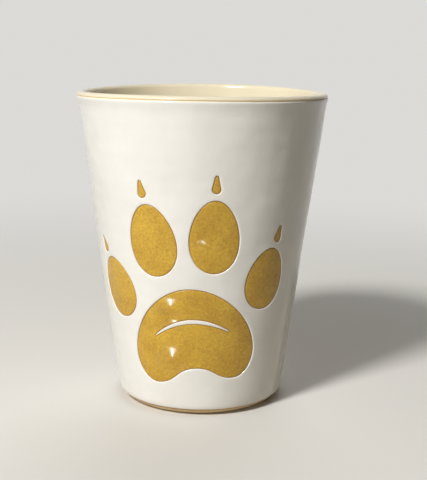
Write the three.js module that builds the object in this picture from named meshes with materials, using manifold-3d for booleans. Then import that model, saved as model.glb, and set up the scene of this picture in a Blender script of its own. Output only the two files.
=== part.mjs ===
// Tapered handleless ceramic mug: a thrown clay pot with a honey-clear glaze inside and over the
// lip, a thick white coat outside, and ochre paw prints let into windows in that coat.
// Millimetres, +Z up. The origin is the centre of the foot, on the table.

import * as THREE from "three";
import { mergeVertices } from "three/addons/utils/BufferGeometryUtils.js";
import Module from "manifold-3d";

const wasm = await Module();
wasm.setup();

// Pot
const height = 110; // table to the top of the glazed lip
const rimRadius = 44; // outermost point of the glazed lip
const footRadius = 25; // outer edge of the flat ring that the pot stands on
const cornerRadius = 4.8; // the turn from the foot up into the wall
const wallFoot = 3.6; // clay at the foot of the wall, which thins towards the lip
const lipRadius = 1.2; // round of the clay lip
const lipProud = 0.4; // how far the lip swells out past the wall's outer face
const flareRadius = 20; // hollow curve in which the wall turns out into the lip
const floor = 4.6; // clay under the drink, above the table
const floorCorner = 9; // inside turn from the wall to the floor
const footRing = 6; // width of the flat standing ring
const recess = 1.1; // depth of the trimmed hollow under the floor
const recessSlope = 1.4; // how far the hollow's edge slopes in

// Glaze layers
const bond = 0.02; // between a layer and the clay that it is fused to
const coat = 0.38; // white coat
const liner = 0.26; // clear glaze inside and over the lip
const ochre = 0.22; // coloured slip, lower than the coat that frames it
const bareFoot = 2.4; // clay left bare above the table
const feather = 0.25; // a glaze layer thins out over this length at its edge
const seamDrop = 1.45; // from the top of the lip down to where the two glazes meet
const breakLine = 0.2; // bare line between them
const paperGap = 0.15; // hairline left round each ochre mark by its paper stencil
const prismReach = 1.6; // outer cap of a cutting prism, as a share of the wall's radius

// Paw prints, measured along the wall's surface from the middle of the heel pad
const pawCount = 2;
const pawHeight = 31; // above the table
const firstPaw = -5; // degrees round from the front
const pawTilt = 5; // degrees, both leaning the same way
const heelHalfWidth = 21.5;
const heelTop = 15.5;
const heelBottom = -18;
const heelWidest = -7.5; // height of the heel's widest point
const lobeReach = 13.5; // how far out each lower lobe of the heel lies
const heelNotch = 5; // how far the heel's lower edge rises between its lobes
const outerToe = { x: 28.2, y: 15.5, halfWidth: 7.6, halfHeight: 11, lean: 24 };
const innerToe = { x: 10.7, y: 32.6, halfWidth: 8.4, halfHeight: 12.4, lean: 7 };
const toeTaper = 0.12; // a toe is this share slimmer towards its claw
const clawGap = 2.2; // white left between a toe and its claw
const clawLength = 6;
const clawHalfWidth = 1.5;
const clawTip = 0.6; // round of its far end
const crescentLength = 25; // crescent of white coat left standing in the heel pad
const crescentWidth = 1.7;
const crescentTip = 0.4; // half its width at its ends
const crescentBow = 4.5; // how far its middle rises above its ends
const crescentHeight = 4; // its middle

// Fineness
const roundSteps = 52;
const cornerSteps = 4;
const flareSteps = 2;
const lipSteps = 7;
const heelSteps = 6;
const toeSteps = 18;
const clawSteps = 3;
const crescentSteps = 6;

const degrees = Math.PI / 180;

// Section of the pot, in radius and height

const point = (radius, z) => new THREE.Vector2(radius, z);

const around = (centre, radius, angle) =>
  point(centre.x + radius * Math.cos(angle), centre.y + radius * Math.sin(angle));

function arc(centre, radius, from, to, steps) {
  return Array.from({ length: steps + 1 }, (_, i) =>
    around(centre, radius, from + ((to - from) * i) / steps),
  );
}

const lipReach = lipRadius + bond + liner;
const lipCentre = point(rimRadius - lipReach, height - lipReach);
const cornerCentre = point(footRadius, cornerRadius);

// The direction that a straight face looks in, where it lies a given distance outside each of two
// points: the lower one at the foot of the pot and the upper one at its lip.
function faceAngle(lower, lowerReach, upper, upperReach) {
  const rise = upper.clone().sub(lower);
  return rise.angle() - Math.acos((lowerReach - upperReach) / rise.length());
}

// The wall's outer face touches the corner's circle. It looks a little downward.
const faceReach = lipRadius - lipProud;
const wallAngle = faceAngle(cornerCentre, cornerRadius, lipCentre, faceReach);

// Radius of the wall's outer face at a height, with a layer of the given thickness on it.
function outsideRadius(z, layer) {
  const foot = around(cornerCentre, cornerRadius + layer, wallAngle);
  return foot.x - (z - foot.y) * Math.tan(wallAngle);
}

// The flare's circle lies outside the pot. It touches the wall's face and the lip's circle.
const flareReach = faceReach + flareRadius;
const flareDrop = Math.sqrt((lipRadius + flareRadius) ** 2 - flareReach ** 2);
const flareCentre = around(
  around(lipCentre, flareReach, wallAngle),
  flareDrop,
  wallAngle - Math.PI / 2,
);
const lipUnderside = wallAngle - Math.atan(flareDrop / flareReach);

// The inner face touches the lip's circle on its inner side, and the turn into the floor.
const turnHeight = floor + floorCorner;
const turnCentre = point(outsideRadius(turnHeight, 0) - wallFoot - floorCorner, turnHeight);
const innerAngle = faceAngle(turnCentre, floorCorner, lipCentre, -lipRadius);

// Where the glazes meet on the lip, and the ends of the bare line there, as angles on its circle.
const seam = Math.asin((lipReach - seamDrop) / lipReach);
const coatEnd = seam - breakLine / 2 / lipRadius;
const linerStart = seam + breakLine / 2 / lipRadius;

// Outside of the pot, from an angle on the corner up to the underside of the lip.
function outside(layer, fromAngle) {
  const flare = flareRadius - layer;
  return [
    ...arc(cornerCentre, cornerRadius + layer, fromAngle, wallAngle, cornerSteps),
    ...arc(flareCentre, flare, wallAngle + Math.PI, lipUnderside + Math.PI, flareSteps),
  ];
}

// From an angle on the lip over it, down the inside and across the floor to the axis.
function inside(layer, fromAngle) {
  return [
    ...arc(lipCentre, lipRadius + layer, fromAngle, innerAngle + Math.PI, lipSteps),
    ...arc(turnCentre, floorCorner - layer, innerAngle, -Math.PI / 2, cornerSteps),
    point(0, floor + layer),
  ];
}

function turned(profile) {
  return new THREE.LatheGeometry(profile, roundSteps).rotateX(Math.PI / 2);
}

// A thin layer: back along its near face, forward along its far face, and closed.
function layerProfile(near, far) {
  const back = near.toReversed();
  return [...back, ...far, back[0]];
}

function solidOf(geometry) {
  const bare = geometry.clone().deleteAttribute("normal").deleteAttribute("uv");
  const merged = mergeVertices(bare);
  return new wasm.Manifold(
    new wasm.Mesh({
      numProp: 3,
      vertProperties: merged.attributes.position.array,
      triVerts: new Uint32Array(merged.index.array),
    }),
  );
}

function geometryOf(solid) {
  const mesh = solid.getMesh();
  const geometry = new THREE.BufferGeometry();
  geometry.setAttribute("position", new THREE.BufferAttribute(mesh.vertProperties, 3));
  geometry.setIndex(new THREE.BufferAttribute(mesh.triVerts, 1));
  geometry.computeVertexNormals();
  return geometry;
}

function clayProfile() {
  const ringInner = footRadius - footRing;
  return [
    point(0, recess),
    point(ringInner - recessSlope, recess),
    point(ringInner, 0),
    ...outside(0, -Math.PI / 2),
    around(lipCentre, lipRadius, coatEnd),
    ...inside(0, linerStart),
  ];
}

function linerProfile() {
  const far = bond + liner;
  const farStart = linerStart + feather / (lipRadius + far);
  return layerProfile(inside(bond, linerStart), inside(far, farStart));
}

// Where the white coat starts, as an angle on the corner.
const coatStart = Math.asin((bareFoot - cornerRadius) / (cornerRadius + bond));

// It is at full thickness up to the lip's underside, and thins out from there to the seam.
function outsideLayer(thickness) {
  const far = bond + thickness;
  const farStart = coatStart + feather / (cornerRadius + far);
  const nearEnd = around(lipCentre, lipRadius + bond, coatEnd);
  return layerProfile([...outside(bond, coatStart), nearEnd], outside(far, farStart));
}

// The marks of a paw, flat, each outline running anticlockwise.

// Two lobes below with a notch between them, and one broad rounded top.
function heelOutline() {
  const notchTop = heelBottom + heelNotch;
  const shape = new THREE.Shape();
  shape.moveTo(0, notchTop);
  shape.bezierCurveTo(lobeReach / 2, notchTop, lobeReach / 2, heelBottom, lobeReach, heelBottom);
  shape.bezierCurveTo(
    (lobeReach + heelHalfWidth) / 2, heelBottom,
    heelHalfWidth, (heelBottom + heelWidest) / 2,
    heelHalfWidth, heelWidest,
  );
  shape.bezierCurveTo(
    heelHalfWidth, (heelWidest + heelTop) / 2,
    heelHalfWidth / 2, heelTop,
    0, heelTop,
  );
  const right = shape.getPoints(heelSteps);
  const left = right.slice(1, -1).map((p) => point(-p.x, p.y));
  return [...right, ...left.reverse()];
}

// An egg that stands on its broad end.
function toeOutline({ halfWidth, halfHeight }) {
  return Array.from({ length: toeSteps }, (_, i) => {
    const turn = (i / toeSteps) * 2 * Math.PI;
    const reach = halfWidth * (1 - toeTaper * Math.sin(turn));
    return point(reach * Math.cos(turn), halfHeight * Math.sin(turn));
  });
}

// A drop: a round end near the toe, drawn out to a smaller round one.
function clawOutline({ halfHeight }) {
  const nearCentre = halfHeight + clawGap + clawHalfWidth;
  const tipCentre = halfHeight + clawGap + clawLength - clawTip;
  const slope = Math.asin((clawHalfWidth - clawTip) / (tipCentre - nearCentre));
  const shape = new THREE.Shape();
  shape.absarc(0, nearCentre, clawHalfWidth, Math.PI - slope, slope);
  shape.absarc(0, tipCentre, clawTip, slope, Math.PI - slope);
  return shape.getPoints(clawSteps);
}

// A crescent: a bowed stroke, widest in its middle.
function crescentOutline() {
  const half = crescentLength / 2;
  const ends = crescentHeight - crescentBow;
  const spine = new THREE.QuadraticBezierCurve(
    point(-half, ends),
    point(0, crescentHeight + crescentBow),
    point(half, ends),
  );
  const side = (sign) => Array.from({ length: crescentSteps + 1 }, (_, i) => {
    const share = i / crescentSteps;
    const swell = 4 * share * (1 - share) * (crescentWidth / 2 - crescentTip);
    const along = spine.getTangent(share);
    const across = point(-along.y, along.x).multiplyScalar(sign * (crescentTip + swell));
    return spine.getPoint(share).add(across);
  });
  const tip = (share, sign) =>
    spine.getPoint(share).addScaledVector(spine.getTangent(share), sign * crescentTip);
  return [...side(-1), tip(1, 1), ...side(1).reverse(), tip(0, -1)];
}

function distinct(outline) {
  return outline.filter((p, i) => p.distanceTo(outline.at(i - 1)) > 1e-3);
}

// Moves every point of an anticlockwise outline inwards.
function shrunk(outline, distance) {
  return outline.map((p, i) => {
    const along = outline[(i + 1) % outline.length].clone().sub(outline.at(i - 1));
    return p.clone().add(point(-along.y, along.x).setLength(distance));
  });
}

function placed(outline, { x, y, lean }) {
  const turn = lean * degrees;
  return outline.map((p) => p.clone().rotateAround(point(0, 0), turn).add(point(x, y)));
}

// The toes fan out: left ones lean left, right ones lean right.
const leftToe = (toe) => ({ ...toe, x: -toe.x });
const rightToe = (toe) => ({ ...toe, lean: -toe.lean });
const toes = [leftToe(outerToe), leftToe(innerToe), rightToe(innerToe), rightToe(outerToe)];

// One paw's ochre marks, each with its flat outline. The heel pad goes round the crescent.
function pawMarks() {
  const marks = [{ name: "heel_pad", outline: heelOutline(), hole: crescentOutline() }];
  toes.forEach((toe, i) => {
    marks.push({ name: `toe_${i + 1}`, outline: placed(toeOutline(toe), toe) });
    marks.push({ name: `claw_${i + 1}`, outline: placed(clawOutline(toe), toe) });
  });
  return marks.map((mark) => ({ ...mark, outline: distinct(mark.outline) }));
}

// A radial prism through the wall: widths across the outline are kept along the wall's surface.
// Its outer cap is flat from side to side, so it starts far enough out to clear the wall.
function prism(outline, pawAngle) {
  const onPot = placed(outline, { x: 0, y: pawHeight, lean: pawTilt });
  const geometry = new THREE.ExtrudeGeometry(new THREE.Shape(onPot), {
    depth: 1,
    bevelEnabled: false,
  });
  const position = geometry.getAttribute("position");
  for (let i = 0; i < position.count; i++) {
    const z = position.getY(i);
    const face = outsideRadius(z, coat);
    const angle = pawAngle + position.getX(i) / face;
    const radius = position.getZ(i) ? face * prismReach : face - wallFoot;
    position.setXYZ(i, radius * Math.sin(angle), -radius * Math.cos(angle), z);
  }
  return solidOf(geometry);
}

const materials = {
  clay: new THREE.MeshStandardMaterial({ color: "#c9a878", roughness: 0.85, metalness: 0 }),
  liner: new THREE.MeshStandardMaterial({ color: "#efe0b8", roughness: 0.18, metalness: 0 }),
  coat: new THREE.MeshStandardMaterial({ color: "#f3f0e4", roughness: 0.22, metalness: 0 }),
  ochre: new THREE.MeshStandardMaterial({ color: "#c2953a", roughness: 0.2, metalness: 0 }),
};

const mug = new THREE.Group();

function add(name, geometry, material) {
  const mesh = new THREE.Mesh(geometry, material);
  mesh.name = name;
  mug.add(mesh);
}

add("clay_body", turned(clayProfile()), materials.clay);
add("liner_glaze", turned(linerProfile()), materials.liner);

const coatLayer = solidOf(turned(outsideLayer(coat)));
const ochreLayer = solidOf(turned(outsideLayer(ochre)));
let whiteCoat = coatLayer;
for (let paw = 0; paw < pawCount; paw++) {
  const name = `paw_${paw + 1}`;
  const pawAngle = firstPaw * degrees + (paw * 2 * Math.PI) / pawCount;
  for (const { name: mark, outline, hole } of pawMarks()) {
    whiteCoat = whiteCoat.subtract(prism(outline, pawAngle));
    let piece = ochreLayer.intersect(prism(shrunk(outline, paperGap), pawAngle));
    if (hole) piece = piece.subtract(prism(hole, pawAngle));
    add(`${name}_${mark}`, geometryOf(piece), materials.ochre);
  }
  const crescent = coatLayer.intersect(prism(shrunk(crescentOutline(), paperGap), pawAngle));
  add(`${name}_crescent`, geometryOf(crescent), materials.coat);
}
add("white_coat", geometryOf(whiteCoat), materials.coat);

export default mug;
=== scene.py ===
# A thrown stoneware mug without a handle, with ochre paw prints let into its white glaze.
# Sizes are real millimetres, unless a comment says otherwise. Each mesh is put into metres as it is
# made.

import math
from bisect import bisect_right

import bpy
from mathutils import Matrix, Vector
from mathutils.geometry import delaunay_2d_cdt
from mathutils.kdtree import KDTree


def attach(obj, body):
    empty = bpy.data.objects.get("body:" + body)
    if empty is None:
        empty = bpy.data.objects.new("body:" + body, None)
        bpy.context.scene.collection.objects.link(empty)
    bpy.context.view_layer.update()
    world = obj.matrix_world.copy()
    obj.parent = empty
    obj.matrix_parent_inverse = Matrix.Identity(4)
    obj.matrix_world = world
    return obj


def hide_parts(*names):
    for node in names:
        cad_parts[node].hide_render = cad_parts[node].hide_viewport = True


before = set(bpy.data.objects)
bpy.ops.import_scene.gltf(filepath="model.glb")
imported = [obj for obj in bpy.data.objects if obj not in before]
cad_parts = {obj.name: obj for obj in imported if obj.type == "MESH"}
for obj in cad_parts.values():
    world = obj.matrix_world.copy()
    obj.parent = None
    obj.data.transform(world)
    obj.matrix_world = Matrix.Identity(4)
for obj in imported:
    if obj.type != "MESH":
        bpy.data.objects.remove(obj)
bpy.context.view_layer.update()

MM = 0.001              # a millimetre in metres


# The thrown pot
# One piece of buff stoneware: wall, rounded lip, floor and foot ring. It was thrown on a wheel and
# trimmed at the foot, so it is turned here from one section. It stays bare at the foot.

HEIGHT = 110            # table to the top of the glazed lip
RIM_RADIUS = 44         # outermost point of the glazed lip
FOOT_RADIUS = 25        # outer edge of the flat ring that the pot stands on
CORNER = 4.8            # the turn from the foot up into the wall
WALL_FOOT = 3.6         # clay at the foot of the wall, which thins towards the lip
LIP = 1.2               # round of the clay lip
LIP_PROUD = 0.4         # how far the lip swells out past the wall's outer face
FLARE = 20              # hollow curve in which the wall turns out into the lip
FLOOR = 4.6             # clay under the drink, above the table
FLOOR_TURN = 9          # inside turn from the wall to the floor
FOOT_RING = 6           # width of the flat standing ring
RECESS = 1.1            # depth of the trimmed hollow under the floor
RECESS_SLOPE = 1.4      # how far the hollow's edge slopes in
BOND = 0.02             # between a glaze and the clay that it is fused to
LINER = 0.26            # clear glaze inside and over the lip
COLUMNS = 256           # round the pot
GAP = 1.1               # between rows on the straight runs
ARC_STEP = 0.13         # radians between rows on a curve
HOLLOW_GAP = 2          # between rows under the floor
HOLLOW_STEPS = 8        # rows on the slope of the hollow
TINY = 1e-6             # points closer than this are one


def off(centre, reach, angle):
    return centre[0] + reach * math.cos(angle), centre[1] + reach * math.sin(angle)


def steps(start, end, count):
    """The values from a start to an end, both included, in that many even steps."""
    return [start + (end - start) * i / count for i in range(count + 1)]


def face_angle(lower, lower_reach, upper, upper_reach):
    """The way a straight face looks that lies these distances outside two points."""
    rise = Vector(upper) - Vector(lower)
    return math.atan2(rise.y, rise.x) - math.acos((lower_reach - upper_reach) / rise.length)


def bend(centre, radius, start, end):
    """Stations on a curve: radius, height and facing angle. A hollow one has a minus radius."""
    count = max(2, math.ceil(abs(end - start) / ARC_STEP))
    return [(*off(centre, radius, angle), angle) for angle in steps(start, end, count)]


def spaced(stations):
    """Adds stations along the straight runs and leaves doubled ones out."""
    result = [stations[0]]
    for last, station in zip(stations, stations[1:]):
        apart = math.dist(last[:2], station[:2])
        if apart > TINY:
            count = math.ceil(apart / GAP)
            for i in range(1, count + 1):
                result.append(tuple(a + (b - a) * i / count for a, b in zip(last, station)))
    return result


lip_reach = LIP + BOND + LINER
lip_centre = (RIM_RADIUS - lip_reach, HEIGHT - lip_reach)
corner_centre = (FOOT_RADIUS, CORNER)
face_reach = LIP - LIP_PROUD
wall_angle = face_angle(corner_centre, CORNER, lip_centre, face_reach)
wall_foot = off(corner_centre, CORNER, wall_angle)


def outside_radius(z, lift):
    """Radius of the wall's outer face at a height, with a layer of that thickness on it."""
    start = off(corner_centre, CORNER + lift, wall_angle)
    return start[0] - (z - start[1]) * math.tan(wall_angle)


flare_reach = face_reach + FLARE
flare_drop = math.sqrt((LIP + FLARE) ** 2 - flare_reach ** 2)
flare_centre = off(off(lip_centre, flare_reach, wall_angle), flare_drop, wall_angle - math.pi / 2)
lip_underside = wall_angle - math.atan(flare_drop / flare_reach)

turn_height = FLOOR + FLOOR_TURN
turn_centre = (outside_radius(turn_height, 0) - WALL_FOOT - FLOOR_TURN, turn_height)
inner_facing = face_angle(turn_centre, FLOOR_TURN, lip_centre, -LIP) + math.pi

# The clay's surface from the foot up the outside, over the lip and down to the floor's middle
section = spaced([
    *bend(corner_centre, CORNER, -math.pi / 2, wall_angle),
    *bend(flare_centre, -FLARE, wall_angle, lip_underside),
    *bend(lip_centre, LIP, lip_underside, inner_facing),
    *bend(turn_centre, -FLOOR_TURN, inner_facing, math.pi / 2),
    (0, FLOOR, math.pi / 2),
])
alongs = [0]
for last, station in zip(section, section[1:]):
    alongs.append(alongs[-1] + math.dist(last[:2], station[:2]))
wall_start = CORNER * (wall_angle + math.pi / 2)
wall_end = wall_start + math.dist(wall_foot, off(flare_centre, -FLARE, wall_angle))
lip_start = wall_end + FLARE * (wall_angle - lip_underside)


def lifted(along, lift):
    """Radius and height at a distance along the section, that far off the clay."""
    i = min(bisect_right(alongs, along), len(section) - 1) - 1
    share = (along - alongs[i]) / (alongs[i + 1] - alongs[i])
    radius, z, facing = (a + (b - a) * share for a, b in zip(section[i], section[i + 1]))
    return off((radius, z), lift, facing)


def round_pot(radius, z, angle):
    """A point in metres. Angle 0 is the front, and it grows to the right."""
    return MM * radius * math.sin(angle), -MM * radius * math.cos(angle), MM * z


def mesh_object(name, points, faces, thinness):
    """An object whose mesh carries how thin its glaze is at each point, from 0 to 1."""
    mesh = bpy.data.meshes.new(name)
    mesh.from_pydata(points, [], faces)
    attribute = mesh.attributes.new("thinness", "FLOAT", "POINT")
    attribute.data.foreach_set("value", thinness)
    mesh.shade_smooth()
    piece = bpy.data.objects.new(name, mesh)
    bpy.context.scene.collection.objects.link(piece)
    return piece


def turned(name, profile):
    """Turns a profile of radius, height and thinness that starts and ends on the axis."""
    angles = [2 * math.pi * j / COLUMNS for j in range(COLUMNS)]
    rows = profile[1:-1]
    points = [(0, 0, MM * profile[0][1])]
    points += [round_pot(radius, z, angle) for radius, z, _ in rows for angle in angles]
    points.append((0, 0, MM * profile[-1][1]))
    thinness = [profile[0][2], *(row[2] for row in rows for _ in angles), profile[-1][2]]
    faces = []
    for j in range(COLUMNS):
        right = (j + 1) % COLUMNS
        faces.append((0, 1 + right, 1 + j))
        for i in range(len(rows) - 1):
            low = 1 + i * COLUMNS
            high = low + COLUMNS
            faces.append((low + j, low + right, high + right, high + j))
        top = 1 + (len(rows) - 1) * COLUMNS
        faces.append((top + j, top + right, len(points) - 1))
    return mesh_object(name, points, faces, thinness)


def colour(code):
    """A colour written as sRGB hex, in the linear values that a shader takes."""
    values = [int(code[i:i + 2], 16) / 255 for i in (1, 3, 5)]
    return (*(v / 12.92 if v < 0.04045 else ((v + 0.055) / 1.055) ** 2.4 for v in values), 1.0)


def result(made):
    """A node's first output in use."""
    return next(output for output in made.outputs if output.enabled)


def node(tree, kind, inputs=None, **settings):
    """Adds a node. An input is a value, a colour as sRGB hex, a socket, or a node whose result is
    linked."""
    made = tree.nodes.new(kind)
    for name, value in settings.items():
        setattr(made, name, value)
    for key, value in (inputs or {}).items():
        if isinstance(key, int):
            socket = made.inputs[key]
        else:
            socket = next(s for s in made.inputs if s.enabled and s.name == key)
        if isinstance(value, bpy.types.Node):
            value = result(value)
        if isinstance(value, str):
            value = colour(value)
        if isinstance(value, bpy.types.NodeSocket):
            tree.links.new(value, socket)
        else:
            socket.default_value = value
    return made


HANDWORK = {            # metres and radians
    "Wander": 0.0008,
    "Wander Size": 0.035,
    "Ring Depth": 0.00002,
    "Ring Spacing": 0.0052,
    "Still Radius": 0.015,      # the wander and the rings fade within it
    "Swirl Depth": 0.00015,
    "Swirl Middle": 0.006,      # the swirl fades within this radius
    "Lip Dip": 0.00047,
    "Dip Angle": -0.068,
    "Front Drop": 0.00038,
    "Dip Start": 0.45 * MM * HEIGHT,    # the wall follows the lip from this height up
}
FLOOR_MARGIN = 0.5      # the swirl comes and goes this far inside the floor's two faces
SWIRL_TOP = (1, 4)      # and fades out between these heights above the floor


def spiral(tree, given, way, angle, depth):
    """A groove that goes round as it goes along, one turn to a ring's spacing."""
    turns = node(tree, "ShaderNodeMath", {0: way, 1: given["Ring Spacing"]}, operation="DIVIDE")
    turns = node(tree, "ShaderNodeMath", {
        0: turns, 1: 2 * math.pi, 2: angle,
    }, operation="MULTIPLY_ADD")
    groove = node(tree, "ShaderNodeMath", {0: turns}, operation="SINE")
    return node(tree, "ShaderNodeMath", {0: groove, 1: depth}, operation="MULTIPLY")


def wall_reach(tree, given, place, radius, height, angle):
    """How far the wall lies out: its wander and its rings, which fade towards the pot's axis."""
    scale = node(tree, "ShaderNodeMath", {0: 1.0, 1: given["Wander Size"]}, operation="DIVIDE")
    noise = node(tree, "ShaderNodeTexNoise", {"Vector": place, "Scale": scale, "Detail": 1.0})
    noise = node(tree, "ShaderNodeMath", {0: noise, 1: 0.5}, operation="SUBTRACT")
    wander = node(tree, "ShaderNodeMath", {0: noise, 1: given["Wander"]}, operation="MULTIPLY")
    ring = spiral(tree, given, height, angle, given["Ring Depth"])
    reach = node(tree, "ShaderNodeMath", {0: wander, 1: ring}, operation="ADD")
    still = node(tree, "ShaderNodeMapRange", {"Value": radius, "From Max": given["Still Radius"]})
    return node(tree, "ShaderNodeMath", {0: reach, 1: still}, operation="MULTIPLY")


def floor_swirl(tree, given, radius, height, angle):
    """How far the floor inside rises with the spiral that the potter's finger left."""
    swirl = spiral(tree, given, radius, angle, given["Swirl Depth"])
    on_floor = node(tree, "ShaderNodeMapRange", {
        "Value": height,
        "From Min": MM * (RECESS + FLOOR_MARGIN), "From Max": MM * (FLOOR - FLOOR_MARGIN),
    })
    off_wall = node(tree, "ShaderNodeMapRange", {
        "Value": height,
        "From Min": MM * (FLOOR + SWIRL_TOP[0]), "From Max": MM * (FLOOR + SWIRL_TOP[1]),
        "To Min": 1.0, "To Max": 0.0,
    })
    in_middle = node(tree, "ShaderNodeMapRange", {
        "Value": radius, "From Max": given["Swirl Middle"],
    })
    for share in (on_floor, off_wall, in_middle):
        swirl = node(tree, "ShaderNodeMath", {0: swirl, 1: share}, operation="MULTIPLY")
    return swirl


def lip_dip(tree, given, height, angle):
    """How far the lip sinks at its left and right, and at its front. The wall eases into it."""
    turned_to = node(tree, "ShaderNodeMath", {
        0: angle, 1: given["Dip Angle"],
    }, operation="SUBTRACT")
    twice = node(tree, "ShaderNodeMath", {0: turned_to, 1: 2.0}, operation="MULTIPLY")
    dip = node(tree, "ShaderNodeMath", {0: twice}, operation="COSINE")
    dip = node(tree, "ShaderNodeMath", {0: dip, 1: given["Lip Dip"]}, operation="MULTIPLY")
    front = node(tree, "ShaderNodeMath", {0: angle}, operation="SINE")
    front = node(tree, "ShaderNodeMapRange", {"Value": front, "From Min": 0.0, "From Max": -1.0})
    front = node(tree, "ShaderNodeMath", {0: front, 1: 2.0}, operation="POWER")
    dip = node(tree, "ShaderNodeMath", {
        0: front, 1: given["Front Drop"], 2: dip,
    }, operation="MULTIPLY_ADD")
    high_up = node(tree, "ShaderNodeMapRange", {
        "Value": height, "From Min": given["Dip Start"], "From Max": MM * HEIGHT,
    }, interpolation_type="SMOOTHSTEP")
    return node(tree, "ShaderNodeMath", {0: dip, 1: high_up}, operation="MULTIPLY")


def thrown_wall():
    """Gives a turned piece what a potter's hands leave in it: a little wander and faint rings in
    the wall, a spiral on the floor inside, and a lip that dips at its left and right and lies a
    little low at the front. Every layer reads the same pattern from its place, so the layers move
    together."""
    tree = bpy.data.node_groups.new("Thrown wall", "GeometryNodeTree")
    sockets = tree.interface
    sockets.new_socket("Geometry", in_out="INPUT", socket_type="NodeSocketGeometry")
    for name in HANDWORK:
        sockets.new_socket(name, in_out="INPUT", socket_type="NodeSocketFloat")
    sockets.new_socket("Finish", in_out="INPUT", socket_type="NodeSocketMaterial")
    sockets.new_socket("Geometry", in_out="OUTPUT", socket_type="NodeSocketGeometry")
    given = node(tree, "NodeGroupInput").outputs
    place = node(tree, "GeometryNodeInputPosition")
    parts = node(tree, "ShaderNodeSeparateXYZ", {"Vector": place}).outputs
    height = parts["Z"]
    outward = node(tree, "ShaderNodeCombineXYZ", {"X": parts["X"], "Y": parts["Y"]})
    radius = node(tree, "ShaderNodeVectorMath", {0: outward}, operation="LENGTH")
    outward = node(tree, "ShaderNodeVectorMath", {0: outward}, operation="NORMALIZE")
    angle = node(tree, "ShaderNodeMath", {0: parts["Y"], 1: parts["X"]}, operation="ARCTAN2")
    reach = wall_reach(tree, given, place, radius, height, angle)
    sideways = node(tree, "ShaderNodeVectorMath", {0: outward, "Scale": reach}, operation="SCALE")
    swirl = floor_swirl(tree, given, radius, height, angle)
    dip = lip_dip(tree, given, height, angle)
    rise = node(tree, "ShaderNodeMath", {0: swirl, 1: dip}, operation="SUBTRACT")
    upwards = node(tree, "ShaderNodeCombineXYZ", {"Z": rise})
    offset = node(tree, "ShaderNodeVectorMath", {0: sideways, 1: upwards}, operation="ADD")
    moved = node(tree, "GeometryNodeSetPosition", {"Geometry": given["Geometry"], "Offset": offset})
    real = node(tree, "GeometryNodeRealizeInstances", {"Geometry": moved})
    dressed = node(tree, "GeometryNodeSetMaterial", {"Geometry": real, "Material": given["Finish"]})
    node(tree, "NodeGroupOutput", {"Geometry": dressed})
    return tree


THROWN = thrown_wall()
SHARPEST = math.radians(50)     # a crease past this is drawn hard, such as a glaze's cut edge


def fired(piece, material, slot, *nodes):
    """Throws a piece's unevenness into its mesh, gives it its finish and puts it on the frame."""
    modifier = piece.modifiers.new("Thrown wall", "NODES")
    modifier.node_group = THROWN
    for item in THROWN.interface.items_tree:
        if item.in_out == "INPUT" and item.name in HANDWORK:
            modifier[item.identifier] = HANDWORK[item.name]
        if item.in_out == "INPUT" and item.name == "Finish":
            modifier[item.identifier] = material
    graph = bpy.context.evaluated_depsgraph_get()
    shaped = bpy.data.meshes.new_from_object(
        piece.evaluated_get(graph), preserve_all_data_layers=True, depsgraph=graph
    )
    piece.modifiers.clear()
    piece.data = shaped
    shaped.set_sharp_from_angle(angle=SHARPEST)
    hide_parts(*nodes)
    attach(piece, "root")


def finish(name, **settings):
    """A new material with its tree, the place that its patterns read, and its shader's sockets, on
    which the values that are the same all over are set."""
    made = bpy.data.materials.new(name)
    made.use_nodes = True
    shader = made.node_tree.nodes["Principled BSDF"]
    for key, value in settings.items():
        shader.inputs[key.replace("_", " ")].default_value = value
    place = node(made.node_tree, "ShaderNodeTexCoord").outputs["Object"]
    return made, made.node_tree, place, shader.inputs


def per_metre(size):
    """A pattern's scale from the size of one of its grains in millimetres."""
    return 1000 / size


GRIT = 0.55             # drawn a little coarser than it is, so that it shows
CLAY_SPECKS = 1.4       # from one cell of the speck pattern to the next
TURNING_LINES = 0.9     # between them
WAVE_LENGTH = math.pi / 10      # of a wave texture at a scale of 1
TOASTED_AND_SHADED = (1.7, 2.3)    # heights between which the clay turns toasted, next to the white glaze; the brown there is partly painted shade under the glaze's edge
AMBER = (4, 7)          # amber, as in the hairlines
HONEY = (100, 107)      # and honey-coloured, as at the lip


def iron_specks(tree, place, spacing, core, rim, strength, share):
    """Specks in a share of the pattern's cells, fading from a core to a rim given in cells."""
    cells = node(tree, "ShaderNodeTexVoronoi", {"Vector": place, "Scale": per_metre(spacing)})
    near = node(tree, "ShaderNodeMapRange", {
        "Value": cells.outputs["Distance"], "From Min": core, "From Max": rim,
        "To Min": strength, "To Max": 0.0,
    })
    chosen = node(tree, "ShaderNodeSeparateColor", {"Color": cells.outputs["Color"]})
    chosen = node(tree, "ShaderNodeMath", {0: chosen, 1: 1 - share}, operation="GREATER_THAN")
    return node(tree, "ShaderNodeMath", {0: near, 1: chosen}, operation="MULTIPLY")


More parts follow.
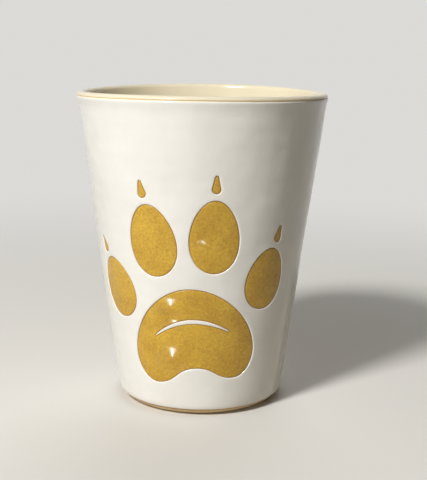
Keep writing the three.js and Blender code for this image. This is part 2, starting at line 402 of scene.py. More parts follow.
def stoneware():
    """Buff stoneware, turned and sanded at the foot: dry and sandy, with fine iron specks and faint
    turning lines. It is amber in the hairlines round the marks and honey-coloured at the lip. Next
    to the white glaze it is toasted brown in a line, partly toasted clay and partly painted shade
    under the glaze's edge."""
    made, tree, place, shader = finish("Buff stoneware", Roughness=0.82, IOR=1.5)
    height = node(tree, "ShaderNodeSeparateXYZ", {"Vector": place}).outputs["Z"]
    sand = node(tree, "ShaderNodeTexNoise", {
        "Vector": place, "Scale": per_metre(GRIT), "Detail": 3.0,
    })
    body = node(tree, "ShaderNodeMix", {
        "Factor": sand, "A": "#E2BE84", "B": "#FAE3B8",
    }, data_type="RGBA")
    speck = iron_specks(tree, place, CLAY_SPECKS, core=0.1, rim=0.22, strength=1, share=0.2)
    body = node(tree, "ShaderNodeMix", {
        "Factor": speck, "A": body, "B": "#6E4A26",
    }, data_type="RGBA")
    for (low, high), stain_and_shade, easing in (
        # a brown line under the white glaze: partly toasted clay, partly painted shade
        (TOASTED_AND_SHADED, "#AC7C40", "SMOOTHSTEP"),
        (AMBER, "#C4923E", "LINEAR"),
        (HONEY, "#F3DEAE", "LINEAR"),
    ):
        share = node(tree, "ShaderNodeMapRange", {
            "Value": height, "From Min": MM * low, "From Max": MM * high,
        }, interpolation_type=easing)
        body = node(tree, "ShaderNodeMix", {
            "Factor": share, "A": body, "B": stain_and_shade,
        }, data_type="RGBA")
    tree.links.new(result(body), shader["Base Color"])
    lines = node(tree, "ShaderNodeTexWave", {
        "Vector": place, "Scale": per_metre(TURNING_LINES) * WAVE_LENGTH, "Distortion": 2.0,
        "Detail": 1.0,
    }, wave_type="RINGS", rings_direction="Z")
    lined = node(tree, "ShaderNodeBump", {"Height": lines, "Strength": 0.3, "Distance": 0.0001})
    bump = node(tree, "ShaderNodeBump", {
        "Height": sand, "Strength": 0.35, "Distance": 0.0002, "Normal": lined,
    })
    tree.links.new(result(bump), shader["Normal"])
    return made


ring_inner = FOOT_RADIUS - FOOT_RING
hollow_edge = ring_inner - RECESS_SLOPE
profile = [(0, RECESS)]
profile += [(radius, RECESS) for radius in range(HOLLOW_GAP, int(hollow_edge), HOLLOW_GAP)]
for share in steps(0, 1, HOLLOW_STEPS):
    z = RECESS * (1 + math.cos(math.pi * share)) / 2
    profile.append((hollow_edge + RECESS_SLOPE * share, z))
profile.append((ring_inner + FOOT_RING / 2, 0))
profile += [(radius, z) for radius, z, _ in section]
pot = turned("clay_pot", [(radius, z, 0) for radius, z in profile])
fired(pot, stoneware(), "fired_clay", "clay_body")


# The liner glaze
# A clear glaze over the buff clay, honey-cream where it lies thick. It was poured in and out, and
# the lip was dipped, so it covers the inside and runs over the lip to a line just outside it.

SEAM_DROP = 1.45        # from the top of the lip down to where the two glazes meet
BREAK_LINE = 0.2        # bare line between them
EDGE_STEPS = 5          # rows on the rounded edge of a glaze
LINER_EDGE = 0.4        # length over which the liner rounds down to its edge
LINER_CLOUDS = 16       # across a soft patch of its colour
LINER_DIMPLES = 2.9     # across a dimple of its surface
POOL = (5, 16)          # heights between which the glaze pooled on the floor thins out

seam = math.asin((lip_reach - SEAM_DROP) / lip_reach)
coat_end = lip_start + LIP * (seam - lip_underside) - BREAK_LINE / 2
liner_start = coat_end + BREAK_LINE


def rounded_edge(width, thickness):
    """Steps in from a glaze's edge: distance, lift off the clay and thinness. Molten glaze draws
    itself round there, so the section is a quarter of an ellipse."""
    return [
        (width * (1 - math.cos(turn)), BOND + thickness * math.sin(turn), 1 - math.sin(turn))
        for turn in steps(0, math.pi / 2, EDGE_STEPS)
    ]


def honey_liner():
    """Clear glaze over buff clay: glossy and cream inside and over the lip, deeper where it pools
    on the floor, and honey-coloured where it thins out at its edge."""
    made, tree, place, shader = finish("Honey-clear glaze", Roughness=0.14, IOR=1.52)
    height = node(tree, "ShaderNodeSeparateXYZ", {"Vector": place}).outputs["Z"]
    cloud = node(tree, "ShaderNodeTexNoise", {
        "Vector": place, "Scale": per_metre(LINER_CLOUDS), "Detail": 2.0,
    })
    body = node(tree, "ShaderNodeMix", {
        "Factor": cloud, "A": "#E2D6B8", "B": "#EAE0C5",
    }, data_type="RGBA")
    pool = node(tree, "ShaderNodeMapRange", {
        "Value": height, "From Min": MM * POOL[0], "From Max": MM * POOL[1],
        "To Min": 0.75, "To Max": 0.0,
    }, interpolation_type="SMOOTHSTEP")
    body = node(tree, "ShaderNodeMix", {
        "Factor": pool, "A": body, "B": "#D3B375",
    }, data_type="RGBA")
    thin = node(tree, "ShaderNodeAttribute", attribute_name="thinness").outputs["Fac"]
    burnt = node(tree, "ShaderNodeMapRange", {
        "Value": thin, "From Min": 0.02, "From Max": 0.45,
    }, interpolation_type="SMOOTHSTEP")
    body = node(tree, "ShaderNodeMix", {
        "Factor": burnt, "A": body, "B": "#EAD5A8",
    }, data_type="RGBA")
    tree.links.new(result(body), shader["Base Color"])
    peel = node(tree, "ShaderNodeTexNoise", {
        "Vector": place, "Scale": per_metre(LINER_DIMPLES), "Detail": 1.0,
    })
    bump = node(tree, "ShaderNodeBump", {"Height": peel, "Strength": 0.12, "Distance": 0.0003})
    tree.links.new(result(bump), shader["Normal"])
    return made


edge = rounded_edge(LINER_EDGE, LINER)
inner_alongs = [a for a in alongs if a > liner_start + LINER_EDGE]
near_face = [(*lifted(a, BOND), 0) for a in [*reversed(inner_alongs), liner_start + LINER_EDGE]]
rim_face = [(*lifted(liner_start + inset, lift), thin) for inset, lift, thin in edge]
far_face = [(*lifted(a, BOND + LINER), 0) for a in inner_alongs]
liner = turned("liner_glaze_shell", [*near_face, *rim_face, *far_face])
fired(liner, honey_liner(), "clear_glaze", "liner_glaze")


# The marks of a paw print
# Paper shapes were laid on the pot for each mark, and the glazes went on round them. So each mark
# is one outline on the wall, wrapped round it, that bounds the white coat as well as the ochre.

PAW_COUNT = 2
PAW_HEIGHT = 31         # middle of the heel pad above the table
FIRST_PAW = -5          # degrees round from the front
PAW_TILT = 5            # degrees, both leaning the same way
HEEL_HALF_WIDTH = 21.5
HEEL_TOP = 15.5
HEEL_BOTTOM = -18
HEEL_WIDEST = -7.5      # height of the heel's widest point
LOBE_REACH = 13.5       # how far out each lower lobe of the heel lies
HEEL_NOTCH = 5          # how far the heel's lower edge rises between its lobes
OUTER_TOE = {"x": 28.2, "y": 15.5, "half_width": 7.6, "half_height": 11, "lean": 24}
INNER_TOE = {"x": 10.7, "y": 32.6, "half_width": 8.4, "half_height": 12.4, "lean": 7}
TOES = ((-1, OUTER_TOE), (-1, INNER_TOE), (1, INNER_TOE), (1, OUTER_TOE))     # from the left
TOE_TAPER = 0.12        # a toe is this share slimmer towards its claw
CLAW_GAP = 2.2          # white left between a toe and its claw
CLAW_LENGTH = 6
CLAW_HALF_WIDTH = 1.5
CLAW_TIP = 0.6          # round of its far end
CRESCENT_LENGTH = 25    # crescent of white coat left standing in the heel pad
CRESCENT_WIDTH = 1.7
CRESCENT_TIP = 0.4      # half its width at its ends
CRESCENT_BOW = 4.5      # how far its middle rises above its ends
CRESCENT_HEIGHT = 4     # its middle
PAPER_GAP = 0.15        # hairline left round each mark by its paper stencil
COAT = 0.38             # white coat
PAD_POINTS = 0.8        # between the points of a pad's outline
FINE_POINTS = 0.3       # between those of a claw or a crescent
CURVE_STEPS = 40        # on each curve, before its points are evened out
CLAW_STEPS = 12         # round a claw's tip, and twice as many round its other end
STROKE_STEPS = 60       # along a crescent
CAP_STEPS = 8           # round its ends


def cubic(start, first, second, end):
    """Points along a curve drawn by two handles, without its end."""
    return [
        Vector(start) * (1 - t) ** 3 + Vector(first) * 3 * t * (1 - t) ** 2
        + Vector(second) * 3 * t * t * (1 - t) + Vector(end) * t ** 3
        for t in steps(0, 1, CURVE_STEPS)[:-1]
    ]


def heel_outline():
    """Two lobes below with a notch between them, and one broad rounded top."""
    notch = (0, HEEL_BOTTOM + HEEL_NOTCH)
    lobe = (LOBE_REACH, HEEL_BOTTOM)
    side = (HEEL_HALF_WIDTH, HEEL_WIDEST)
    top = (0, HEEL_TOP)
    right = [
        *cubic(notch, (LOBE_REACH / 2, notch[1]), (LOBE_REACH / 2, HEEL_BOTTOM), lobe),
        *cubic(
            lobe, ((LOBE_REACH + HEEL_HALF_WIDTH) / 2, HEEL_BOTTOM),
            (HEEL_HALF_WIDTH, (HEEL_BOTTOM + HEEL_WIDEST) / 2), side,
        ),
        *cubic(
            side, (HEEL_HALF_WIDTH, (HEEL_WIDEST + HEEL_TOP) / 2),
            (HEEL_HALF_WIDTH / 2, HEEL_TOP), top,
        ),
    ]
    left = [Vector((-p.x, p.y)) for p in reversed(right[1:])]
    return [*right, Vector(top), *left]


def toe_outline(toe):
    """An egg that stands on its broad end."""
    outline = []
    for turn in steps(0, 2 * math.pi, 3 * CURVE_STEPS)[:-1]:
        width = toe["half_width"] * (1 - TOE_TAPER * math.sin(turn))
        outline.append(Vector((width * math.cos(turn), toe["half_height"] * math.sin(turn))))
    return outline


def claw_outline(toe):
    """A drop: a round end near the toe, drawn out to a smaller round one."""
    near = toe["half_height"] + CLAW_GAP + CLAW_HALF_WIDTH
    tip = toe["half_height"] + CLAW_GAP + CLAW_LENGTH - CLAW_TIP
    slant = math.asin((CLAW_HALF_WIDTH - CLAW_TIP) / (tip - near))
    lower = steps(math.pi - slant, 2 * math.pi + slant, 2 * CLAW_STEPS)
    upper = steps(slant, math.pi - slant, CLAW_STEPS)
    return [
        *(Vector(off((0, near), CLAW_HALF_WIDTH, turn)) for turn in lower),
        *(Vector(off((0, tip), CLAW_TIP, turn)) for turn in upper),
    ]


def crescent_outline():
    """A bowed stroke, widest in its middle, with round ends."""
    half = CRESCENT_LENGTH / 2
    lower, upper = [], []
    for u in steps(-1, 1, STROKE_STEPS):
        swell = (1 - u * u) * (CRESCENT_WIDTH / 2 - CRESCENT_TIP)
        spine = Vector((half * u, CRESCENT_HEIGHT - CRESCENT_BOW * u * u))
        across = Vector((2 * CRESCENT_BOW * u / half, 1)).normalized() * (CRESCENT_TIP + swell)
        lower.append(spine - across)
        upper.append(spine + across)
    right, left = (lower[-1] + upper[-1]) / 2, (lower[0] + upper[0]) / 2
    slant = math.atan2(2 * CRESCENT_BOW, half)
    cap = steps(0, math.pi, CAP_STEPS)[1:-1]
    right_cap = [Vector(off(right, CRESCENT_TIP, turn - math.pi / 2 - slant)) for turn in cap]
    left_cap = [Vector(off(left, CRESCENT_TIP, turn + math.pi / 2 + slant)) for turn in cap]
    return [*lower, *right_cap, *reversed(upper), *left_cap]


def evened(outline, gap):
    """The same closed outline with points that far apart."""
    closed = [*outline, outline[0]]
    reached = [0]
    for a, b in zip(closed, closed[1:]):
        reached.append(reached[-1] + (b - a).length)
    count = round(reached[-1] / gap)
    result = []
    for n in range(count):
        wanted = reached[-1] * n / count
        i = bisect_right(reached, wanted) - 1
        share = (wanted - reached[i]) / (reached[i + 1] - reached[i])
        result.append(closed[i].lerp(closed[i + 1], share))
    return result


def moved_in(outline, distance):
    """Moves every point of an anticlockwise outline inwards, or outwards by a minus distance."""
    result = []
    for i, p in enumerate(outline):
        along = (outline[(i + 1) % len(outline)] - outline[i - 1]).normalized()
        result.append(p + Vector((-along.y, along.x)) * distance)
    return result


def placed(outline, side, toe):
    """An outline where a toe is, in the left half of the paw where side is -1."""
    turn = Matrix.Rotation(math.radians(-side * toe["lean"]), 2)
    return [turn @ p + Vector((side * toe["x"], toe["y"])) for p in outline]


def paw_marks():
    """Each ochre mark of a paw with its outline and the white crescent that it goes round."""
    crescent = evened(crescent_outline(), FINE_POINTS)
    marks = [("heel_pad", evened(heel_outline(), PAD_POINTS), crescent)]
    for n, (side, toe) in enumerate(TOES, 1):
        pad = placed(toe_outline(toe), side, toe)
        claw = placed(claw_outline(toe), side, toe)
        marks.append((f"toe_{n}", evened(pad, PAD_POINTS), None))
        marks.append((f"claw_{n}", evened(claw, FINE_POINTS), None))
    return marks


PAW_MARKS = paw_marks()


def paw_angle(paw):
    return math.radians(FIRST_PAW) + 2 * math.pi * paw / PAW_COUNT


def wrapped(p, paw):
    """A flat point of a paw as an angle round the pot and a distance along its section. Widths are
    kept along the surface."""
    flat = Matrix.Rotation(math.radians(PAW_TILT), 2) @ p
    z = flat.y + PAW_HEIGHT
    along = wall_start + (z - wall_foot[1]) / math.cos(wall_angle)
    return paw_angle(paw) + flat.x / outside_radius(z, COAT), along


def rings_of(outline, paw, side):
    """A mark's outline on the wall, moved in by a distance where side is 1, and out by it where
    side is -1, as a function of that distance."""
    return lambda inset: [wrapped(p, paw) for p in moved_in(outline, side * inset)]


# The white coat
# A thick opaque white glaze, dipped on from the foot to just under the lip, over the paper shapes.
# With the papers peeled off it has a window for each mark, with edges that melted round.

BARE_FOOT = 2.4         # clay left bare above the table
COAT_EDGE = 0.45        # length over which the coat rounds down at a window
FOOT_EDGE = 0.9         # and where it runs out at the foot
LIP_EDGE = 0.5          # and under the lip
ROW_CLEAR = 0.3         # least distance from a rounded edge to the next row
MEAN_RADIUS = 36        # turns an angle into a length where triangles are laid out
INSIDE_LOOPS = 1        # asks for the triangles inside the loops alone
COAT_CLOUDS = 16        # across a soft patch of its colour
COAT_SPECKS = 6.25      # from one cell of the speck pattern to the next
COAT_SWELLS = 11        # across a low swelling of its surface
COAT_DIMPLES = 2.4      # across a dimple of it


class Layer:
    """A fired layer with a rounded edge. Its front is built as spots on the pot, and its back is
    the same spots pressed down to the clay, so the two make one closed shell."""

    def __init__(self):
        self.spots = []
        self.faces = []

    def spot(self, angle, along, lift, thin):
        self.spots.append((angle, along, lift, thin))
        return len(self.spots) - 1

    def edge(self, ring_at, side, width, thickness):
        """Rings of faces from an edge into the layer, which lies to the left of the ring's way
        where side is 1 and to the right where it is -1. ring_at gives the angle and the distance
        along of a ring's spots, that far in from the edge. Returns the last ring."""
        last = None
        for inset, lift, thin in rounded_edge(width, thickness):
            ring = [self.spot(angle, along, lift, thin) for angle, along in ring_at(inset)]
            if last:
                self.band(*((last, ring) if side > 0 else (ring, last)))
            last = ring
        return last

    def band(self, lower, upper):
        """A closed band of faces between two rings of as many spots."""
        for i in range(len(lower)):
            right = (i + 1) % len(lower)
            self.faces.append((lower[i], lower[right], upper[right], upper[i]))

    def fill(self, loops, loose):
        """Triangles inside the first loop, clear of the others, through the loose spots. Loops
        and loose spots are given as a spot and its angle."""
        given = [item for loop in loops for item in loop]
        tree = KDTree(len(given))
        for n, (spot, angle) in enumerate(given):
            tree.insert((angle * MEAN_RADIUS, self.spots[spot][1], 0), n)
        tree.balance()
        for spot, angle in loose:
            if tree.find((angle * MEAN_RADIUS, self.spots[spot][1], 0))[2] > GAP / 2:
                given.append((spot, angle))
        flat = [Vector((angle * MEAN_RADIUS, self.spots[spot][1])) for spot, angle in given]
        shapes, first = [], 0
        for loop in loops:
            shapes.append(list(range(first, first + len(loop))))
            first += len(loop)
        _, _, faces, origins, _, owners = delaunay_2d_cdt(
            flat, [], shapes, INSIDE_LOOPS, TINY, True
        )
        for face, owner in zip(faces, owners):
            if owner == [0]:
                self.faces.append(tuple(given[origins[i][0]][0] for i in face))

    def piece(self, name):
        """The closed shell as an object."""
        points, thinness, front, back = [], [], {}, {}
        for spot in sorted({i for face in self.faces for i in face}):
            angle, along, lift, thin = self.spots[spot]
            front[spot] = back[spot] = len(points)
            points.append(round_pot(*lifted(along, lift), angle))
            thinness.append(thin)
            if lift > BOND:
                back[spot] = len(points)
                points.append(round_pot(*lifted(along, BOND), angle))
                thinness.append(thin)
        faces = [[front[i] for i in face] for face in self.faces]
        faces += [[back[i] for i in reversed(face)] for face in self.faces]
        return mesh_object(name, points, faces, thinness)


def white_glaze():
    """Opaque white stoneware glaze: thick, glossy and a little creamy, softly uneven from the dip,
    with faint clouds and a rare iron speck. It burns brown where it thins out at an edge, and
    honey-coloured by the lip."""
    made, tree, place, shader = finish("Opaque white glaze", IOR=1.52)
    cloud = node(tree, "ShaderNodeTexNoise", {
        "Vector": place, "Scale": per_metre(COAT_CLOUDS), "Detail": 5.0, "Roughness": 0.65,
    })
    body = node(tree, "ShaderNodeMix", {
        "Factor": cloud, "A": "#E6E3DA", "B": "#F4F3ED",
    }, data_type="RGBA")
    speck = iron_specks(
        tree, place, COAT_SPECKS, core=0.02, rim=0.07, strength=0.45, share=0.12
    )
    body = node(tree, "ShaderNodeMix", {
        "Factor": speck, "A": body, "B": "#A98C62",
    }, data_type="RGBA")
    thin = node(tree, "ShaderNodeAttribute", attribute_name="thinness").outputs["Fac"]
    burnt = node(tree, "ShaderNodeMapRange", {
        "Value": thin, "From Min": 0.45, "From Max": 0.9,
    }, interpolation_type="SMOOTHSTEP")
    height = node(tree, "ShaderNodeSeparateXYZ", {"Vector": place}).outputs["Z"]
    at_lip = node(tree, "ShaderNodeMapRange", {
        "Value": height, "From Min": MM * HONEY[0], "From Max": MM * HONEY[1],
    })
    brown = node(tree, "ShaderNodeMix", {
        "Factor": at_lip, "A": "#B08A52", "B": "#EBD8AC",
    }, data_type="RGBA")
    body = node(tree, "ShaderNodeMix", {"Factor": burnt, "A": body, "B": brown}, data_type="RGBA")
    tree.links.new(result(body), shader["Base Color"])
    rough = node(tree, "ShaderNodeMapRange", {"Value": cloud, "To Min": 0.06, "To Max": 0.14})
    tree.links.new(result(rough), shader["Roughness"])
    swell = node(tree, "ShaderNodeTexNoise", {
        "Vector": place, "Scale": per_metre(COAT_SWELLS), "Detail": 1.0,
    })
    uneven = node(tree, "ShaderNodeBump", {"Height": swell, "Distance": 0.0004})
    peel = node(tree, "ShaderNodeTexNoise", {
        "Vector": place, "Scale": per_metre(COAT_DIMPLES), "Detail": 2.0,
    })
    bump = node(tree, "ShaderNodeBump", {
        "Height": peel, "Strength": 0.15, "Distance": 0.0003, "Normal": uneven,
    })
    tree.links.new(result(bump), shader["Normal"])
    return made


coat = Layer()
first_column = paw_angle(0) - math.pi / PAW_COUNT
columns = [first_column + 2 * math.pi * j / COLUMNS for j in range(COLUMNS)]
coat_start = CORNER * (math.pi / 2 + math.asin((BARE_FOOT - CORNER) / CORNER))
grid = [coat.edge(lambda inset: [(a, coat_start + inset) for a in columns], 1, FOOT_EDGE, COAT)]
for along in alongs:
    if coat_start + FOOT_EDGE + ROW_CLEAR < along < coat_end - LIP_EDGE - ROW_CLEAR:
        grid.append([coat.spot(angle, along, BOND + COAT, 0) for angle in columns])
grid.append(coat.edge(lambda inset: [(a, coat_end - inset) for a in columns], -1, LIP_EDGE, COAT))

windows = []
for paw in range(PAW_COUNT):
    for _, outline, _ in PAW_MARKS:
        ring = coat.edge(rings_of(outline, paw, -1), -1, COAT_EDGE, COAT)
        windows.append([(spot, coat.spots[spot][0]) for spot in ring])

# The wall is cut open between the paws, so its last column is its first, a full turn on.
outer_loop = [
    *zip(grid[0], columns),
    *((row[0], first_column + 2 * math.pi) for row in grid),
    *reversed(list(zip(grid[-1], columns))),
    *((row[0], first_column) for row in reversed(grid[1:-1])),
]
inner_spots = [item for row in grid[1:-1] for item in list(zip(row, columns))[1:]]
coat.fill([outer_loop, *windows], inner_spots)
WHITE = white_glaze()
fired(coat.piece("white_coat_shell"), WHITE, "white_coat", "white_coat")


# The paw prints
# Ochre slip under clear glaze, brushed into each window a little lower than the white round it.
# The crescent in each heel pad is white coat left standing, with a hairline of clay round it.

OCHRE = 0.22            # slip and the clear glaze over it
OCHRE_EDGE = 0.3        # length over which the ochre rounds down at its edge
CRESCENT_EDGE = 0.2     # and the crescent, which is narrow
MARK_GAP = 0.99         # between rows on a mark, a little closer than on the wall
OCHRE_CLOUDS = 9        # across a soft patch of its colour
OCHRE_GRAIN = 0.77      # of its mottle, drawn a little coarser than it is, so that it shows
OCHRE_SPECKS = 1.1      # from one cell of the speck pattern to the next
OCHRE_DIMPLES = 2       # across a dimple of its surface
RUN_SLOPE = 0.82        # how far a run of glaze rises, to half its height along the wall
GLAZE_RUNS = (          # degrees from the paw's middle, height on the pot, half width, half height
    (-12, 40, 7, 3.6),
    (-9, 33.5, 5, 2.2),
    (-12, 21, 7, 5),
    (8, 62, 4, 2.4),
)


def glaze_runs(tree, place):
    """How far the glaze rises where it ran and stayed thick: low mounds on the wall, in metres."""
    rise = 0.0
    for paw in range(PAW_COUNT):
        for turn, height, half_width, half_height in GLAZE_RUNS:
            angle = paw_angle(paw) + math.radians(turn)
            local = node(tree, "ShaderNodeMapping", {
                "Vector": place,
                "Location": round_pot(outside_radius(height, OCHRE), height, angle),
                "Rotation": (0, 0, angle),
                "Scale": (MM * half_width, MM * half_width, MM * half_height),
            }, vector_type="TEXTURE")
            ball = node(tree, "ShaderNodeTexGradient", {"Vector": local}, gradient_type="SPHERICAL")
            mound = node(tree, "ShaderNodeMapRange", {
                "Value": ball.outputs["Fac"], "From Min": -0.2, "From Max": 1.2,
                "To Max": MM * RUN_SLOPE * half_height,
            }, interpolation_type="SMOOTHSTEP")
            rise = node(tree, "ShaderNodeMath", {0: rise, 1: mound}, operation="ADD")
    return rise


def ochre_slip():
    """Ochre slip under clear glaze: mottled from gold to brown, peppered with fine iron specks and
    darker where it thins out at an edge. Only the glaze over it mirrors. It ran in a few places and
    stayed thick there, so it glints on their upper flanks."""
    made, tree, place, shader = finish(
        "Ochre slip under clear glaze", Roughness=0.5, Specular_IOR_Level=0.0,
        Coat_Weight=1.0, Coat_Roughness=0.3, Coat_IOR=1.52,
    )
    cloud = node(tree, "ShaderNodeTexNoise", {
        "Vector": place, "Scale": per_metre(OCHRE_CLOUDS), "Detail": 4.0,
    })
    body = node(tree, "ShaderNodeMix", {
        "Factor": cloud, "A": "#AE8124", "B": "#DCB440",
    }, data_type="RGBA")
    grain = node(tree, "ShaderNodeTexNoise", {
        "Vector": place, "Scale": per_metre(OCHRE_GRAIN), "Detail": 2.0,
    })
    body = node(tree, "ShaderNodeMix", {
        "Factor": 0.45, "A": body, "B": grain,
    }, data_type="RGBA", blend_type="OVERLAY")
    speck = iron_specks(
        tree, place, OCHRE_SPECKS, core=0.05, rim=0.25, strength=0.45, share=0.2
    )
    body = node(tree, "ShaderNodeMix", {
        "Factor": speck, "A": body, "B": "#7E5618",
    }, data_type="RGBA")
    thin = node(tree, "ShaderNodeAttribute", attribute_name="thinness").outputs["Fac"]
    burnt = node(tree, "ShaderNodeMapRange", {"Value": thin, "From Min": 0.2, "From Max": 0.9})
    body = node(tree, "ShaderNodeMix", {
        "Factor": burnt, "A": body, "B": "#A4792E",
    }, data_type="RGBA")
    tree.links.new(result(body), shader["Base Color"])
    dimples = node(tree, "ShaderNodeTexNoise", {
        "Vector": place, "Scale": per_metre(OCHRE_DIMPLES), "Detail": 2.0,
    })
    bump = node(tree, "ShaderNodeBump", {"Height": dimples, "Strength": 0.2, "Distance": 0.0003})
    tree.links.new(result(bump), shader["Normal"])
    swollen = node(tree, "ShaderNodeBump", {
        "Height": glaze_runs(tree, place), "Distance": 1.0, "Normal": bump,
    })
    tree.links.new(result(swollen), shader["Coat Normal"])
    return made


def loose_spots(layer, outline, paw, lift):
    """Spots in even rows over the box of an outline."""
    low = Vector((min(p.x for p in outline), min(p.y for p in outline)))
    high = Vector((max(p.x for p in outline), max(p.y for p in outline)))
    loose = []
    for i in range(int((high.x - low.x) / MARK_GAP) + 1):
        for j in range(int((high.y - low.y) / MARK_GAP) + 1):
            angle, along = wrapped(low + Vector((i, j)) * MARK_GAP, paw)
            loose.append((layer.spot(angle, along, lift, 0), angle))
    return loose


def fired_mark(name, outline, hole, paw, thickness, width, material, slot):
    """One mark of a paw as a closed layer in its window."""
    layer = Layer()
    rings = [layer.edge(rings_of(moved_in(outline, PAPER_GAP), paw, 1), 1, width, thickness)]
    if hole:
        rings.append(layer.edge(rings_of(hole, paw, -1), -1, width, thickness))
    loops = [[(spot, layer.spots[spot][0]) for spot in ring] for ring in rings]
    layer.fill(loops, loose_spots(layer, outline, paw, BOND + thickness))
    node_name = f"paw_{paw + 1}_{name}"
    fired(layer.piece(f"{node_name}_layer"), material, slot, node_name)


OCHRE_SLIP = ochre_slip()
for paw in range(PAW_COUNT):
    for name, outline, hole in PAW_MARKS:
        fired_mark(name, outline, hole, paw, OCHRE, OCHRE_EDGE, OCHRE_SLIP, "ochre_slip")
        if hole:
            fired_mark("crescent", hole, None, paw, COAT, CRESCENT_EDGE, WHITE, "white_coat")


# The studio
# A pale floor that bends up into a round wall. A soft key lamp stands high at the front left. A
# weak one stands low under it, as light off the ground would, and a broad one lights the back.

FLOOR_COLOUR = "#DFDCD5"
FLOOR_BOUNCE = "#B4AC9E"  # colour with which the floor near the mug throws light back on it
FAR_BOUNCE = "#6E6A64"    # and the backdrop further out, which is kept from filling the shade
SWEEP_RADIUS = 1.3      # metres, as all lengths of the studio
SWEEP_BEND = 0.5
SWEEP_TOP = 1.3
SWEEP_COLUMNS = 96
SWEEP_STEPS = 16        # rows on its bend
SURROUNDINGS = "#F2F1EE"
FILL = 0.04             # light of the surroundings on the object
SEEN = 0.8              # and their strength where they are seen or mirrored
FADE_START = 0.12       # the floor fades from here
FADE_END = 0.5          # to its own plain colour out here
LAMP_DISTANCE = 1.1


def sweep():
    """A round floor that bends up into a wall, as one smooth sheet."""
    centre = (SWEEP_RADIUS - SWEEP_BEND, SWEEP_BEND)
    line = [off(centre, SWEEP_BEND, angle) for angle in steps(-math.pi / 2, 0, SWEEP_STEPS)]
    line.append((SWEEP_RADIUS, SWEEP_TOP))
    points = [(0, 0, 0)]
    for radius, z in line:
        for j in range(SWEEP_COLUMNS):
            angle = 2 * math.pi * j / SWEEP_COLUMNS
            points.append((radius * math.cos(angle), radius * math.sin(angle), z))
    faces = []
    for j in range(SWEEP_COLUMNS):
        right = (j + 1) % SWEEP_COLUMNS
        faces.append((0, 1 + j, 1 + right))
        for low in range(1, len(points) - SWEEP_COLUMNS, SWEEP_COLUMNS):
            high = low + SWEEP_COLUMNS
            faces.append((low + j, high + j, high + right, low + right))
    mesh = bpy.data.meshes.new("sweep")
    mesh.from_pydata(points, [], faces)
    mesh.shade_smooth()
    backdrop = bpy.data.objects.new("sweep", mesh)
    bpy.context.scene.collection.objects.link(backdrop)
    mesh.materials.append(matt_backdrop())
    return backdrop


def seen_or_mirrored(tree):
    """1 on a ray from the camera or off a mirror, and 0 on one that only carries light."""
    rays = node(tree, "ShaderNodeLightPath").outputs
    seen = node(tree, "ShaderNodeMath", {
        0: rays["Is Camera Ray"], 1: rays["Is Glossy Ray"],
    }, operation="MAXIMUM")
    return node(tree, "ShaderNodeMath", {
        0: seen, 1: rays["Is Transmission Ray"],
    }, operation="MAXIMUM")


def matt_backdrop():
    """Matt card, lit as it is near the mug, where the shadow falls, and plain pale far from it."""
    made, tree, place, shader = finish("Matt backdrop", Roughness=0.9)
    seen = seen_or_mirrored(tree)
    reach = node(tree, "ShaderNodeVectorMath", {0: place}, operation="LENGTH")
    far = node(tree, "ShaderNodeMapRange", {
        "Value": reach, "From Min": FADE_START, "From Max": FADE_END,
    }, interpolation_type="SMOOTHSTEP")
    bounce = node(tree, "ShaderNodeMix", {
        "Factor": far, "A": FLOOR_BOUNCE, "B": FAR_BOUNCE,
    }, data_type="RGBA")
    card = node(tree, "ShaderNodeMix", {
        "Factor": seen, "A": bounce, "B": FLOOR_COLOUR,
    }, data_type="RGBA")
    tree.links.new(result(card), shader["Base Color"])
    share = node(tree, "ShaderNodeMath", {0: far, 1: seen}, operation="MULTIPLY")
    plain = node(tree, "ShaderNodeEmission", {"Color": SURROUNDINGS, "Strength": SEEN})
    lit = tree.nodes["Principled BSDF"]
    mixed = node(tree, "ShaderNodeMixShader", {0: share, 1: lit, 2: plain})
    tree.links.new(mixed.outputs["Shader"], tree.nodes["Material Output"].inputs["Surface"])
    return made


def surroundings():
    """Pale where they are seen or mirrored, and a dimmer plain fill as a light."""
    world = bpy.data.worlds.new("Surroundings")
    world.use_nodes = True
    tree = world.node_tree
    tree.nodes.clear()
    strength = node(tree, "ShaderNodeMapRange", {
        "Value": seen_or_mirrored(tree), "To Min": FILL, "To Max": SEEN,
    })
    sky = node(tree, "ShaderNodeBackground", {"Color": SURROUNDINGS, "Strength": strength})
    node(tree, "ShaderNodeOutputWorld", {"Surface": sky})
    bpy.context.scene.world = world


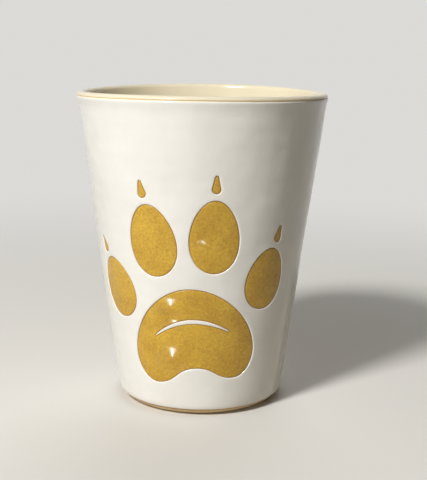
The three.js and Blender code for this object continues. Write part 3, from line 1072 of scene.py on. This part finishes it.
def lamp(name, watts, size, azimuth, elevation, mirrored=True):
    """A round soft lamp, of that size in metres, aimed at the middle of the mug from that many
    degrees round from the front and up. It isn't seen itself, and a mirrored one shows in gloss."""
    light = bpy.data.lights.new(name, "AREA")
    light.shape = "DISK"
    light.size = size
    light.energy = watts
    holder = bpy.data.objects.new(name, light)
    middle = Vector((0, 0, MM * HEIGHT / 2))
    round_it, rise = math.radians(azimuth), math.radians(elevation)
    flat = math.cos(rise)
    way = Vector((flat * math.sin(round_it), -flat * math.cos(round_it), math.sin(rise)))
    holder.location = middle + way * LAMP_DISTANCE
    holder.rotation_euler = way.to_track_quat("Z", "Y").to_euler()
    holder.visible_camera = False
    holder.visible_glossy = mirrored
    bpy.context.scene.collection.objects.link(holder)


sweep()
surroundings()
lamp("key", watts=11.9, size=0.2, azimuth=-38, elevation=42)
lamp("low", watts=2.6, size=0.3, azimuth=-34, elevation=6)
lamp("rear", watts=5.6, size=1, azimuth=168, elevation=30, mirrored=False)


# The camera
# It stands about three mug heights away, a little above the lip, and looks down at the mug. Its
# place and its lens were fitted to the outline of the mug in the photograph.

CAMERA_DISTANCE = 348   # in front of the mug's axis
CAMERA_HEIGHT = 126.75
CAMERA_PITCH = 0.2001   # radians down
CAMERA_YAW = 0.0129     # radians to the right
CAMERA_ROLL = 0.0129    # radians
FOCAL_PIXELS = 979      # focal length as a count of the photograph's pixels
PHOTO_HEIGHT = 480      # pixels
SENSOR = 36             # mm, along the photograph's height

forward = Vector((
    math.sin(CAMERA_YAW) * math.cos(CAMERA_PITCH),
    math.cos(CAMERA_YAW) * math.cos(CAMERA_PITCH),
    -math.sin(CAMERA_PITCH),
))
level = Vector((math.cos(CAMERA_YAW), -math.sin(CAMERA_YAW), 0))
upright = level.cross(forward)
right = math.cos(CAMERA_ROLL) * level + math.sin(CAMERA_ROLL) * upright
up = math.cos(CAMERA_ROLL) * upright - math.sin(CAMERA_ROLL) * level
lens = bpy.data.cameras.new("camera")
lens.sensor_width = SENSOR
lens.lens = FOCAL_PIXELS / PHOTO_HEIGHT * SENSOR
camera = bpy.data.objects.new("camera", lens)
spot = Matrix((right, up, -forward)).transposed().to_4x4()
spot.translation = Vector((0, -CAMERA_DISTANCE, CAMERA_HEIGHT)) * MM
camera.matrix_world = spot
bpy.context.scene.collection.objects.link(camera)
bpy.context.scene.camera = camera
bpy.context.scene.view_settings.view_transform = "Standard"
